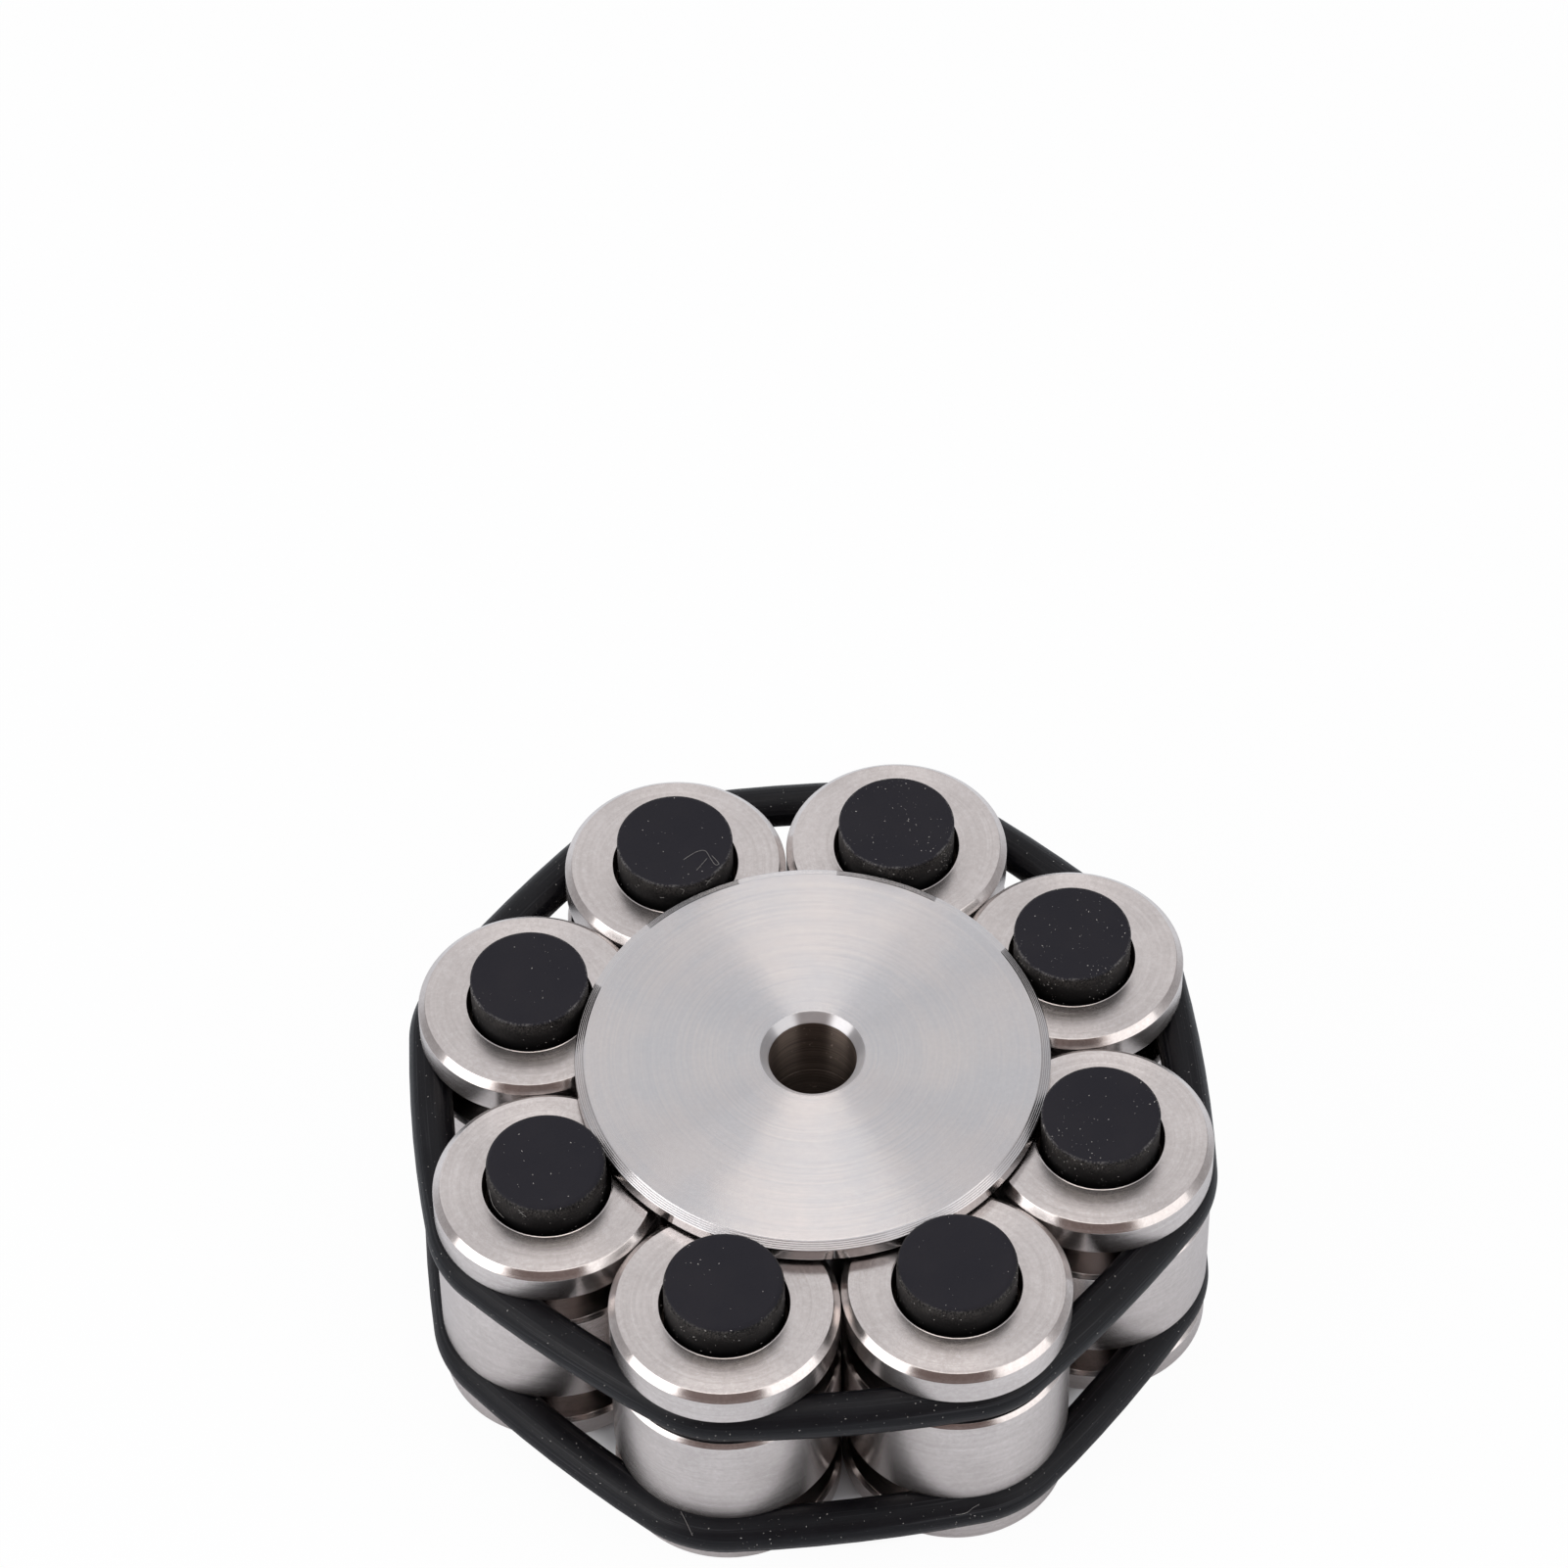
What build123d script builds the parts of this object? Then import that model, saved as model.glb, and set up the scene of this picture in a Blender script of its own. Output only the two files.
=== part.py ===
from build123d import *

import os
from math import atan2, cos, degrees, pi, radians, sin, sqrt

# Record weight: a turned hub with eight turned weights round it, held by two rubber rings
# Millimetres, +Z up. The origin is on the spindle axis, on the surface that the weight rests on.

# Weights: equal cylinders that stand in a circle round the core of the hub
weight_count = 8
weight_diameter = 19.0
weight_gap = 0.08  # between one weight and the next
top_rim = 3.25  # full diameter above the upper groove
barrel_length = 10.55  # full diameter between the grooves
bottom_rim = 2.9  # full diameter below the lower groove
end_chamfer = 0.6
lip_chamfer = 0.35  # on the lower lip of each groove, where the rings are rolled in

# Rubber rings: round cord rings that bind the weights to the core
ring_section = 3.6
groove_play = 0.05  # height of a groove over the section of its ring
ring_seat_gap = 0.05  # between a seated ring and the floor of its groove
ring_proud = 0.25  # how far a seated ring stands out past the weights
run_bend_radius = 125.0  # the runs between two weights bow out a little
upper_ring_off_weight_1 = 0.2  # where a ring isn't pushed fully home
upper_ring_off_weight_2 = 1.05
upper_ring_off_weight_3 = 1.2
upper_ring_off_weight_4 = 0.75
upper_ring_off_weight_5 = 0.55
upper_ring_off_weight_8 = 0.2
lower_ring_off_weight_5 = 0.6
lower_ring_off_weight_6 = 1.5
lower_ring_off_weight_7 = 0.85

# Plugs: rubber studs that stand on the floors of the pockets
plug_diameter = 9.9
plug_proud = 3.1
pocket_depth = 3.0
pocket_side_gap = 0.42
worn_plugs = (5, 6, 7)  # the plugs whose top edge is rounded by handling
worn_plug_round = 0.5

# Hub: a core between the weights, and a disc over their inner edges
core_gap = 0.08  # between the core and each weight
core_chamfer = 0.5
disc_lift = 0.4  # air between the top faces of the weights and the disc
disc_thickness = 1.65
disc_plug_gap = 0.08  # between the rim of the disc and each plug
disc_bevel_width = 0.8
disc_bevel_drop = 0.4
bore_diameter = 7.4
bore_chamfer = 0.7

# Worked out from the sizes above
weight_radius = weight_diameter / 2
groove_height = ring_section + groove_play
groove_radius = weight_radius + ring_proud - ring_section - ring_seat_gap
lower_ledge = bottom_rim
upper_ledge = lower_ledge + groove_height + barrel_length
weight_height = upper_ledge + groove_height + top_rim
half_pitch = 180 / weight_count
circle_radius = (weight_diameter + weight_gap) / (2 * sin(radians(half_pitch)))
seat_radius = groove_radius + ring_seat_gap + ring_section / 2
plug_radius = plug_diameter / 2
pocket_radius = plug_radius + pocket_side_gap
pocket_floor = weight_height - pocket_depth
core_radius = circle_radius - weight_radius - core_gap
disc_radius = circle_radius - plug_radius - disc_plug_gap
disc_underside = weight_height + disc_lift
disc_top = disc_underside + disc_thickness
bore_radius = bore_diameter / 2

weight_angles = [half_pitch * (2 * place + 1) for place in range(weight_count)]
weight_centres = [
    Vector(circle_radius * cos(radians(angle)), circle_radius * sin(radians(angle)))
    for angle in weight_angles
]


def upright_plane(centre, angle):
    """Plane of a half section: its x runs outwards at an angle, its y runs up."""
    outwards = (cos(radians(angle)), sin(radians(angle)), 0)
    across = (sin(radians(angle)), -cos(radians(angle)), 0)
    return Plane(origin=centre, x_dir=outwards, z_dir=across)


def heading(vector):
    """Angle of a vector in the XY plane, in degrees."""
    return degrees(atan2(vector.Y, vector.X))


def run_centre(start, start_radius, end, end_radius):
    """Centre, on the hub's side, of the run that is tangent to two seat arcs."""
    span = end - start
    start_reach = run_bend_radius - start_radius
    end_reach = run_bend_radius - end_radius
    along = (span.length**2 + start_reach**2 - end_reach**2) / (2 * span.length)
    inwards = sqrt(start_reach**2 - along**2)
    direction = span.normalized()
    return start + direction * along + direction.rotate(Axis.Z, 90) * inwards


def arc_between(centre, radius, start_angle, end_angle):
    """Arc that turns counterclockwise from one heading to another."""
    return CenterArc((centre.X, centre.Y), radius, start_angle, (end_angle - start_angle) % 360)


os.makedirs("parts", exist_ok=True)

# Hub
with BuildPart() as hub:
    with BuildSketch(Plane.XZ):
        with BuildLine():
            Polyline(
                (bore_radius, 0),
                (core_radius - core_chamfer, 0),
                (core_radius, core_chamfer),
                (core_radius, disc_underside),
                (disc_radius, disc_underside),
                (disc_radius, disc_top - disc_bevel_drop),
                (disc_radius - disc_bevel_width, disc_top),
                (bore_radius + bore_chamfer, disc_top),
                (bore_radius, disc_top - bore_chamfer),
                close=True,
            )
        make_face()
    revolve(axis=Axis.Z)
hub.part.label = "hub"
export_step(hub.part, "parts/hub.step")

# Weights
for number, (centre, angle) in enumerate(zip(weight_centres, weight_angles), start=1):
    with BuildPart() as weight:
        with BuildSketch(upright_plane(centre, angle)):
            with BuildLine():
                Polyline(
                    (0, 0),
                    (weight_radius - end_chamfer, 0),
                    (weight_radius, end_chamfer),
                    (weight_radius, lower_ledge - lip_chamfer),
                    (weight_radius - lip_chamfer, lower_ledge),
                    (groove_radius, lower_ledge),
                    (groove_radius, lower_ledge + groove_height),
                    (weight_radius, lower_ledge + groove_height),
                    (weight_radius, upper_ledge - lip_chamfer),
                    (weight_radius - lip_chamfer, upper_ledge),
                    (groove_radius, upper_ledge),
                    (groove_radius, upper_ledge + groove_height),
                    (weight_radius, upper_ledge + groove_height),
                    (weight_radius, weight_height - end_chamfer),
                    (weight_radius - end_chamfer, weight_height),
                    (pocket_radius, weight_height),
                    (pocket_radius, pocket_floor),
                    (0, pocket_floor),
                    close=True,
                )
            make_face()
        revolve(axis=Axis(centre, (0, 0, 1)))
    weight.part.label = f"weight_{number}"
    export_step(weight.part, f"parts/weight_{number}.step")

# Plugs
for number, centre in enumerate(weight_centres, start=1):
    with BuildPart() as plug:
        with BuildSketch(Plane((centre.X, centre.Y, pocket_floor))):
            Circle(plug_radius)
        extrude(amount=pocket_depth + plug_proud)
        if number in worn_plugs:
            fillet(plug.faces().sort_by(Axis.Z)[-1].edges(), worn_plug_round)
    plug.part.label = f"plug_{number}"
    export_step(plug.part, f"parts/plug_{number}.step")

# Rubber rings
rings = (
    (
        "upper_ring",
        upper_ledge + groove_height / 2,
        {
            1: upper_ring_off_weight_1,
            2: upper_ring_off_weight_2,
            3: upper_ring_off_weight_3,
            4: upper_ring_off_weight_4,
            5: upper_ring_off_weight_5,
            8: upper_ring_off_weight_8,
        },
    ),
    (
        "lower_ring",
        lower_ledge + groove_height / 2,
        {5: lower_ring_off_weight_5, 6: lower_ring_off_weight_6, 7: lower_ring_off_weight_7},
    ),
)
for name, height, off_seat in rings:
    seat_radii = [seat_radius + off_seat.get(number, 0) for number in range(1, weight_count + 1)]
    run_centres = [
        run_centre(
            weight_centres[place - 1],
            seat_radii[place - 1],
            weight_centres[place],
            seat_radii[place],
        )
        for place in range(weight_count)
    ]
    with BuildPart() as ring:
        with BuildLine(Plane.XY.offset(height)) as route:
            for place in range(weight_count):
                centre = weight_centres[place]
                arrival = run_centres[place]
                departure = run_centres[(place + 1) % weight_count]
                leaving = weight_centres[place - 1]
                arc_between(arrival, run_bend_radius, heading(leaving - arrival), heading(centre - arrival))
                arc_between(centre, seat_radii[place], heading(centre - arrival), heading(centre - departure))
        path = route.wires()[0]
        with BuildSketch(Plane(origin=path @ 0, z_dir=path % 0)):
            Circle(ring_section / 2)
        sweep(path=path)
    print(name, "length", round(path.length, 3), "volume ratio",
          round(ring.part.volume / (pi * (ring_section / 2) ** 2 * path.length), 5))
    ring.part.label = name
    export_step(ring.part, f"parts/{name}.step")
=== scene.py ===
"""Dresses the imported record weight: turned steel, black rubber, dust, light and camera."""

import logging
import math
from dataclasses import dataclass, field
from enum import Enum
from typing import Any, Iterable

import bmesh
import bpy
from mathutils import Matrix, Vector


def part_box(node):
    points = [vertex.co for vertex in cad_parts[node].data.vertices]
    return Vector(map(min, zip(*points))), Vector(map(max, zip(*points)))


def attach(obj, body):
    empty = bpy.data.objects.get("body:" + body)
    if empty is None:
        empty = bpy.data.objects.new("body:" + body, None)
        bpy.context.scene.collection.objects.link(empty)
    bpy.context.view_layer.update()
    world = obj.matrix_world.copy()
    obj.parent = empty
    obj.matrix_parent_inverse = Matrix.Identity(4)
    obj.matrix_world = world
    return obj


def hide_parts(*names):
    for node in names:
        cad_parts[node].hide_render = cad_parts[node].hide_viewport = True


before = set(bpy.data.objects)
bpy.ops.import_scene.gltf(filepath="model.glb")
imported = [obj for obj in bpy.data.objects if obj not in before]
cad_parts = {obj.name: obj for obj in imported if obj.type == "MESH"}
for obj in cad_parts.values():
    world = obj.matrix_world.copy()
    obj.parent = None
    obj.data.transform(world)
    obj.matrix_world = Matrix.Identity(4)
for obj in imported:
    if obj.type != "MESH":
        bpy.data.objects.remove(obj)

log = logging.getLogger("record_weight")

MM = 0.001
BODY = "root"

Socket = bpy.types.NodeSocket
Item = bpy.types.Object
Point = tuple[float, float]
Colour = tuple[float, float, float]


class Signal:
    """A number that varies over a surface, with arithmetic written as Python expressions."""

    def __init__(self, bench: "NodeBench", socket: Socket) -> None:
        """Wraps an output socket.

        Args:
            bench: The node bench that owns the socket.
            socket: The output socket that carries the number.
        """
        self.bench = bench
        self.socket = socket

    def _maths(self, operation: str, first: Any, second: Any) -> "Signal":
        """Adds one Math node and returns its result."""
        settings = {"operation": operation}
        return Signal(self.bench, self.bench.output("ShaderNodeMath", settings, {0: first, 1: second}))

    def __add__(self, other: Any) -> "Signal":
        """Adds a number or a signal."""
        return self._maths("ADD", self, other)

    __radd__ = __add__

    def __sub__(self, other: Any) -> "Signal":
        """Takes away a number or a signal."""
        return self._maths("SUBTRACT", self, other)

    def __rsub__(self, other: Any) -> "Signal":
        """Takes this signal away from a number."""
        return self._maths("SUBTRACT", other, self)

    def __mul__(self, other: Any) -> "Signal":
        """Multiplies by a number or a signal."""
        return self._maths("MULTIPLY", self, other)

    __rmul__ = __mul__

    def __truediv__(self, other: Any) -> "Signal":
        """Divides by a number or a signal."""
        return self._maths("DIVIDE", self, other)

    def __pow__(self, other: Any) -> "Signal":
        """Raises to a power."""
        return self._maths("POWER", self, other)

    def capped(self) -> "Signal":
        """Holds the signal between 0 and 1."""
        return Signal(self.bench, self.bench.output("ShaderNodeClamp", {}, {"Value": self}))


class NodeBench:
    """Builds nodes in one tree, for materials, the world and geometry alike."""

    def __init__(self, tree: bpy.types.NodeTree) -> None:
        """Takes the tree that the nodes go into."""
        self.tree = tree

    def node(self, kind: str, settings: dict[str, Any], inputs: dict[Any, Any]) -> bpy.types.Node:
        """Adds a node.

        Args:
            kind: The node's type, such as ShaderNodeMath.
            settings: Properties of the node, set before its sockets.
            inputs: Socket name or number to a value, a socket or a signal.

        Returns:
            The new node.
        """
        made = self.tree.nodes.new(kind)
        for name, value in settings.items():
            setattr(made, name, value)
        self.feed_all(made, inputs)
        return made

    def feed_all(self, node: bpy.types.Node, inputs: dict[Any, Any]) -> None:
        """Feeds several inputs of a node."""
        for key, value in inputs.items():
            self.feed(node.inputs[key], value)

    def output(self, kind: str, settings: dict[str, Any], inputs: dict[Any, Any]) -> Socket:
        """Adds a node and returns its first output."""
        return self.node(kind, settings, inputs).outputs[0]

    def signal(self, socket: Socket) -> Signal:
        """Wraps an output socket for arithmetic."""
        return Signal(self, socket)

    def parts(self, vector: Socket) -> list[Signal]:
        """Splits a vector into its three numbers."""
        split = self.node("ShaderNodeSeparateXYZ", {}, {0: vector})
        return [self.signal(output) for output in split.outputs]

    def joined(self, x: Any, y: Any, z: Any) -> Socket:
        """Joins three numbers into a vector."""
        return self.output("ShaderNodeCombineXYZ", {}, {0: x, 1: y, 2: z})

    def feed(self, socket: Socket, value: Any) -> None:
        """Links a socket or a signal to an input, or sets a plain value on it."""
        if isinstance(value, Signal):
            value = value.socket
        if isinstance(value, Socket):
            self.tree.links.new(value, socket)
        else:
            socket.default_value = value


class ShaderBench(NodeBench):
    """Nodes that finishes, the floor and the world share."""

    def attribute(self, name: str, output: str = "Vector") -> Socket:
        """Returns a mesh attribute, as a vector unless another output is asked for."""
        return self.node("ShaderNodeAttribute", {"attribute_name": name}, {}).outputs[output]

    def object_place(self) -> Socket:
        """Returns the place on the surface, in the object's own frame."""
        return self.node("ShaderNodeTexCoord", {}, {}).outputs["Object"]

    def noise(self, vector: Any, scale: float, detail: float = 2.0, rough: float = 0.5,
              seed: Any = 0.0) -> Signal:
        """Adds a noise between 0 and 1.

        Args:
            vector: Where the noise is read.
            scale: Its scale.
            detail: Its octaves.
            rough: Share of each further octave.
            seed: Fourth coordinate, which tells like pieces apart.

        Returns:
            The noise as a signal.
        """
        inputs = {"Vector": vector, "W": seed, "Scale": scale, "Detail": detail, "Roughness": rough}
        return self.signal(self.output("ShaderNodeTexNoise", {"noise_dimensions": "4D"}, inputs))

    def between(self, value: Any, low: float, high: float) -> Signal:
        """Maps a signal smoothly from low..high to 0..1, held at both ends."""
        inputs = {"Value": value, "From Min": low, "From Max": high}
        return self.signal(self.output("ShaderNodeMapRange", {"interpolation_type": "SMOOTHSTEP"}, inputs))

    def mixed(self, factor: Any, first: Any, second: Any) -> Socket:
        """Mixes two colours."""
        made = self.node("ShaderNodeMix", {"data_type": "RGBA"}, {0: factor, 6: first, 7: second})
        return made.outputs[2]

    def bump(self, height: Any, distance: float) -> Socket:
        """Turns a height into a normal, with the height given in metres by distance."""
        return self.output("ShaderNodeBump", {}, {"Height": height, "Distance": distance, "Strength": 1.0})


def new_finish(name: str) -> tuple[bpy.types.Material, ShaderBench, bpy.types.Node]:
    """Starts a material.

    Args:
        name: The material's name.

    Returns:
        The material, its bench and its Principled shader.
    """
    material = bpy.data.materials.new(name)
    material.use_nodes = True
    bench = ShaderBench(material.node_tree)
    return material, bench, material.node_tree.nodes["Principled BSDF"]


def rgba(colour: Colour) -> tuple[float, float, float, float]:
    """Adds an opaque alpha to a colour."""
    return (*colour, 1.0)


def shown(name: str, data: Any) -> Item:
    """Makes an object and puts it in the scene."""
    item = bpy.data.objects.new(name, data)
    bpy.context.scene.collection.objects.link(item)
    return item


def plain_mesh(name: str, points: list[Any], edges: list[Any], faces: Iterable[Any] = ()) -> bpy.types.Mesh:
    """Makes a mesh from its points, edges and faces."""
    mesh = bpy.data.meshes.new(name)
    mesh.from_pydata(points, edges, faces)
    return mesh


LATHE_ARM = 1.0 * MM  # radius of the circle that a half section is swept along
EDGE_STEPS = 3  # points on each rounded corner
WELD = 1e-6  # metres
LATHE_PLACE = "lathe_place"
LATHE_SEED = "lathe_seed"
CORD_ROUND = "cord_round"
CORD_STEPS = 48  # round the section of a ring
MOULD_LINE_STEPS = 6
HAIR_STEPS = 5
MARK_LEVELS: Point = (0.36, 0.64)  # of a noise, where the other tone starts and where it is full
PALE_GRAIN: Colour = (0.98, 0.97, 0.96)
WHITE: Colour = (1.0, 1.0, 1.0)
QUARTER_TURN = 0.25


@dataclass(frozen=True)
class SunkArea:
    """A bore or pocket, whose walls are painted darker than the faces round it: partly duller bored metal,
    partly painted shade in the hollow.
    """

    radius: float  # mm from the axis
    bottom: float  # mm
    top: float
    # dark wall colour: partly the metal's own duller tone, partly painted shade in the hollow
    colour: Colour
    line_height: float = -5.0  # mm, of a scored line round the wall
    line_fade: Point = (0.13, 0.03)  # mm from the line, where it starts and where it is full
    line_strength: float = 0.7
    fleck_levels: Point = (0.69, 0.76)  # of the noise, where a fleck starts and where it is full
    light_colour: Colour = (0.42, 0.34, 0.29)  # of the scored line and of flecks on the wall
    dark_share: float = 0.6  # of the colour, between the turning marks

    def mask(self, bench: ShaderBench, radius: Signal, height: Signal) -> Signal:
        """Returns 1 on the walls and floor of the hollow and 0 outside it."""
        inside = bench.between(radius, (self.radius + 0.07) * MM, (self.radius + 0.01) * MM)
        over = bench.between(height, (self.bottom - 0.3) * MM, (self.bottom - 0.1) * MM)
        under = bench.between(height, (self.top + 0.05) * MM, (self.top - 0.05) * MM)
        return inside * over * under

    def tone(self, bench: ShaderBench, height: Signal, marks: Signal, flecks: Signal) -> Any:
        """Returns the colour of the wall, whose darkness is partly painted shade of the hollow, with its
        scored line, its turning marks and its flecks.
        """
        off_line = ((height - self.line_height * MM) ** 2.0) ** 0.5
        start, full = self.line_fade
        line = bench.between(off_line, start * MM, full * MM) * self.line_strength
        light = line + bench.between(flecks, *self.fleck_levels)
        dark = rgba(tuple(self.dark_share * part for part in self.colour))
        ringed = bench.mixed(bench.between(marks, *MARK_LEVELS), dark, rgba(self.colour))
        return bench.mixed(light.capped(), ringed, rgba(self.light_colour))


@dataclass(frozen=True)
class CutZone:
    """A ring of the surface that another cut left smoother or rougher."""

    inner: float  # mm from the axis
    outer: float
    roughness: float  # added to that of the rest

    def added(self, bench: ShaderBench, radius: Signal) -> Signal:
        """Returns the roughness that the zone adds."""
        past_inner = bench.between(radius, (self.inner - 0.03) * MM, (self.inner + 0.03) * MM)
        before_outer = bench.between(radius, (self.outer + 0.06) * MM, (self.outer + 0.02) * MM)
        return past_inner * before_outer * self.roughness


@dataclass(frozen=True)
class TurnedSteel:
    """Bare stainless steel as it leaves the lathe, with marks that run round its axis."""

    name: str
    colour: Colour
    stain: Colour
    hollow: SunkArea
    roughness: float
    roughness_change: float  # how much it varies
    mark_depth: float  # height of the lathe marks, in metres
    fine_marks: float  # marks to the metre, across them
    coarse_marks: float
    streak: float  # how often a mark breaks on its way round
    speckle: float  # share of the tone that a fine grain changes
    anisotropy: float
    speckle_scale: float = 2600.0
    cloud_scale: float = 230.0
    fleck_scale: float = 2300.0
    hollow_roughness: float = 0.42
    rise: float = 1.1  # how fast the marks change with the height, against the radius
    coarse_streak: float = 0.4  # how often a coarse mark breaks, against a fine one
    shade_share: float = 0.5  # of the colour, in the darkest grain
    zones: tuple[CutZone, ...] = ()

    def material(self) -> bpy.types.Material:
        """Builds the finish on the attribute that the lathe leaves on a piece."""
        material, bench, shader = new_finish(self.name)
        place = bench.attribute(LATHE_PLACE)
        seed = bench.signal(bench.attribute(LATHE_SEED, "Fac"))
        x, y, z = bench.parts(place)
        radius = (x * x + y * y) ** 0.5 + 1e-6
        across = radius + z * self.rise
        round_x = x / radius * self.streak
        round_y = y / radius * self.streak
        fine = bench.noise(bench.joined(across * self.fine_marks, round_x, round_y), 1.0, 2.0, 0.6, seed)
        coarse_place = bench.joined(
            across * self.coarse_marks, round_x * self.coarse_streak, round_y * self.coarse_streak
        )
        coarse = bench.noise(coarse_place, 1.0, 1.0, 0.5, seed + 3.0)
        cloud = bench.noise(place, self.cloud_scale, 3.0, 0.6, seed + 7.0)
        grain = bench.noise(place, self.speckle_scale, 3.0, 0.75, seed + 11.0)
        marks = fine * 0.4 + coarse * 0.6
        # hollow: where the bore or pocket wall takes its darker colour, partly painted shade in the hollow
        hollow = self.hollow.mask(bench, radius, z)
        stained = bench.between(marks * 0.35 + cloud * 0.65, *MARK_LEVELS)
        body = bench.mixed(stained, rgba(self.stain), rgba(self.colour))
        shade = (grain - 0.5) * self.speckle + (marks - 0.5) * (self.speckle * 0.5)
        dark = rgba(tuple(self.shade_share * part for part in self.colour))
        darker = bench.mixed((shade * -2.0).capped(), body, dark)
        toned = bench.mixed((shade * 2.0).capped(), darker, rgba(PALE_GRAIN))
        flecks = bench.noise(place, self.fleck_scale, 1.0, 0.5, seed + 17.0)
        wall = self.hollow.tone(bench, z, marks, flecks)
        rough = (marks + cloud * 0.5 + grain * 0.5 - 1.0) * self.roughness_change + self.roughness
        for zone in self.zones:
            rough = rough + zone.added(bench, radius)
        inputs = {
            "Metallic": 1.0,
            "Base Color": bench.mixed(hollow, toned, wall),
            "Roughness": rough * (1.0 - hollow) + hollow * self.hollow_roughness,
            "Anisotropic": self.anisotropy,
            "Anisotropic Rotation": QUARTER_TURN,
            "Normal": bench.bump(marks, self.mark_depth),
        }
        bench.feed_all(shader, inputs)
        return material


@dataclass(frozen=True)
class BlackRubber:
    """Black rubber with a fine grain, shared by the plugs and the rings."""

    name: str
    colour: Colour
    bloom: Colour
    roughness: float
    gloss: float  # specular level
    grain_scale: float
    grain_depth: float  # in metres
    cloud_scale: float = 190.0
    roughness_change: float = 0.15

    def body(self, bench: ShaderBench, shader: bpy.types.Node) -> tuple[Any, Signal, Signal]:
        """Sets the gloss and returns the body colour, the fine grain and the broad clouds."""
        place = bench.object_place()
        grain = bench.noise(place, self.grain_scale, 3.0, 0.6)
        cloud = bench.noise(place, self.cloud_scale, 3.0, 0.6, 4.0)
        roughness = (grain + cloud - 1.0) * self.roughness_change + self.roughness
        bench.feed_all(shader, {"Specular IOR Level": self.gloss, "Roughness": roughness})
        return bench.mixed(bench.between(cloud, 0.3, 0.75), rgba(self.colour), rgba(self.bloom)), grain, cloud


@dataclass(frozen=True)
class PlugRubber(BlackRubber):
    """Matte plug rubber with a pale broken rim and black sides that are dusty at the top."""

    radius: float = 4.95  # mm
    top: float = 27.1
    rim_colour: Colour = (0.17, 0.165, 0.16)
    side_colour: Colour = (0.0026, 0.0024, 0.0026)
    veil_colour: Colour = (0.080, 0.074, 0.069)
    strength: float = 0.75  # of the rim and of the veil where they are full
    veil_depth: float = 0.6  # against that of the grain
    chalk_scale: float = 6500.0
    patch_scale: float = 650.0

    def material(self) -> bpy.types.Material:
        """Builds the finish on the attribute that the lathe leaves on a piece."""
        material, bench, shader = new_finish(self.name)
        body, grain, cloud = self.body(bench, shader)
        place = bench.attribute(LATHE_PLACE)
        x, y, z = bench.parts(place)
        radius = (x * x + y * y) ** 0.5
        outer = bench.between(radius, (self.radius - 0.20) * MM, (self.radius - 0.04) * MM)
        upper = bench.between(z, (self.top - 0.34) * MM, (self.top - 0.06) * MM)
        chalk = bench.noise(place, self.chalk_scale, 3.0, 0.75, 2.0)
        patches = bench.noise(place, self.patch_scale, 2.0, 0.6, 6.0)
        rim = outer * upper * bench.between(chalk * 0.6 + patches * 0.4, 0.46, 0.60)
        side = bench.between(radius, (self.radius - 0.24) * MM, (self.radius - 0.06) * MM)
        side = side * bench.between(z, (self.top - 0.04) * MM, (self.top - 0.30) * MM)
        high = bench.between(z, (self.top - 2.0) * MM, (self.top - 0.2) * MM)
        veil = side * high * bench.between(chalk * 0.7 + patches * 0.2 + cloud * 0.1, 0.44, 0.60)
        toned = bench.mixed(side, body, rgba(self.side_colour))
        veiled = bench.mixed(veil * self.strength, toned, rgba(self.veil_colour))
        colour = bench.mixed(rim * self.strength, veiled, rgba(self.rim_colour))
        normal = bench.bump(grain + veil * self.veil_depth, self.grain_depth)
        bench.feed_all(shader, {"Base Color": colour, "Normal": normal})
        return material


@dataclass(frozen=True)
class RingRubber(BlackRubber):
    """Satin ring rubber with faint drawn lines along the cord."""

    line_colour: Colour = (0.042, 0.042, 0.046)
    lines_round: float = 9.0  # how many lines there are room for round the section
    lines_along: float = 55.0  # how often a line breaks, to the metre
    line_strength: float = 0.5
    line_depth: float = 1.8  # against grain_depth
    grain_share: float = 0.7

    def material(self) -> bpy.types.Material:
        """Builds the finish on the attribute that the cord carries round its section."""
        material, bench, shader = new_finish(self.name)
        body, grain, _ = self.body(bench, shader)
        place = bench.object_place()
        x, y, _ = bench.parts(place)
        section_x, section_y, _ = bench.parts(bench.attribute(CORD_ROUND))
        along = bench.joined(x * self.lines_along, y * self.lines_along, section_x * self.lines_round)
        lines = bench.noise(along, 1.0, 3.0, 0.6, section_y * self.lines_round)
        drawn = bench.between(lines, 0.54, 0.70)
        colour = bench.mixed(drawn * self.line_strength, body, rgba(self.line_colour))
        normal = bench.bump(grain * self.grain_share + lines * self.line_depth, self.grain_depth)
        bench.feed_all(shader, {"Base Color": colour, "Normal": normal})
        return material


@dataclass(frozen=True)
class Lint:
    """Pale dust and hair."""

    name: str
    colour: Colour
    dark_share: float = 0.45  # of the colour, where it is darkest

    def material(self) -> bpy.types.Material:
        """Builds a rough pale finish with a slight change of tone."""
        material, bench, shader = new_finish(self.name)
        place = bench.object_place()
        tone = bench.noise(place, 900.0)
        dark = tuple(part * self.dark_share for part in self.colour)
        colour = bench.mixed(tone, rgba(dark), rgba(self.colour))
        bench.feed_all(shader, {"Base Color": colour, "Roughness": tone * 0.1 + 0.8})
        return material


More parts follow.
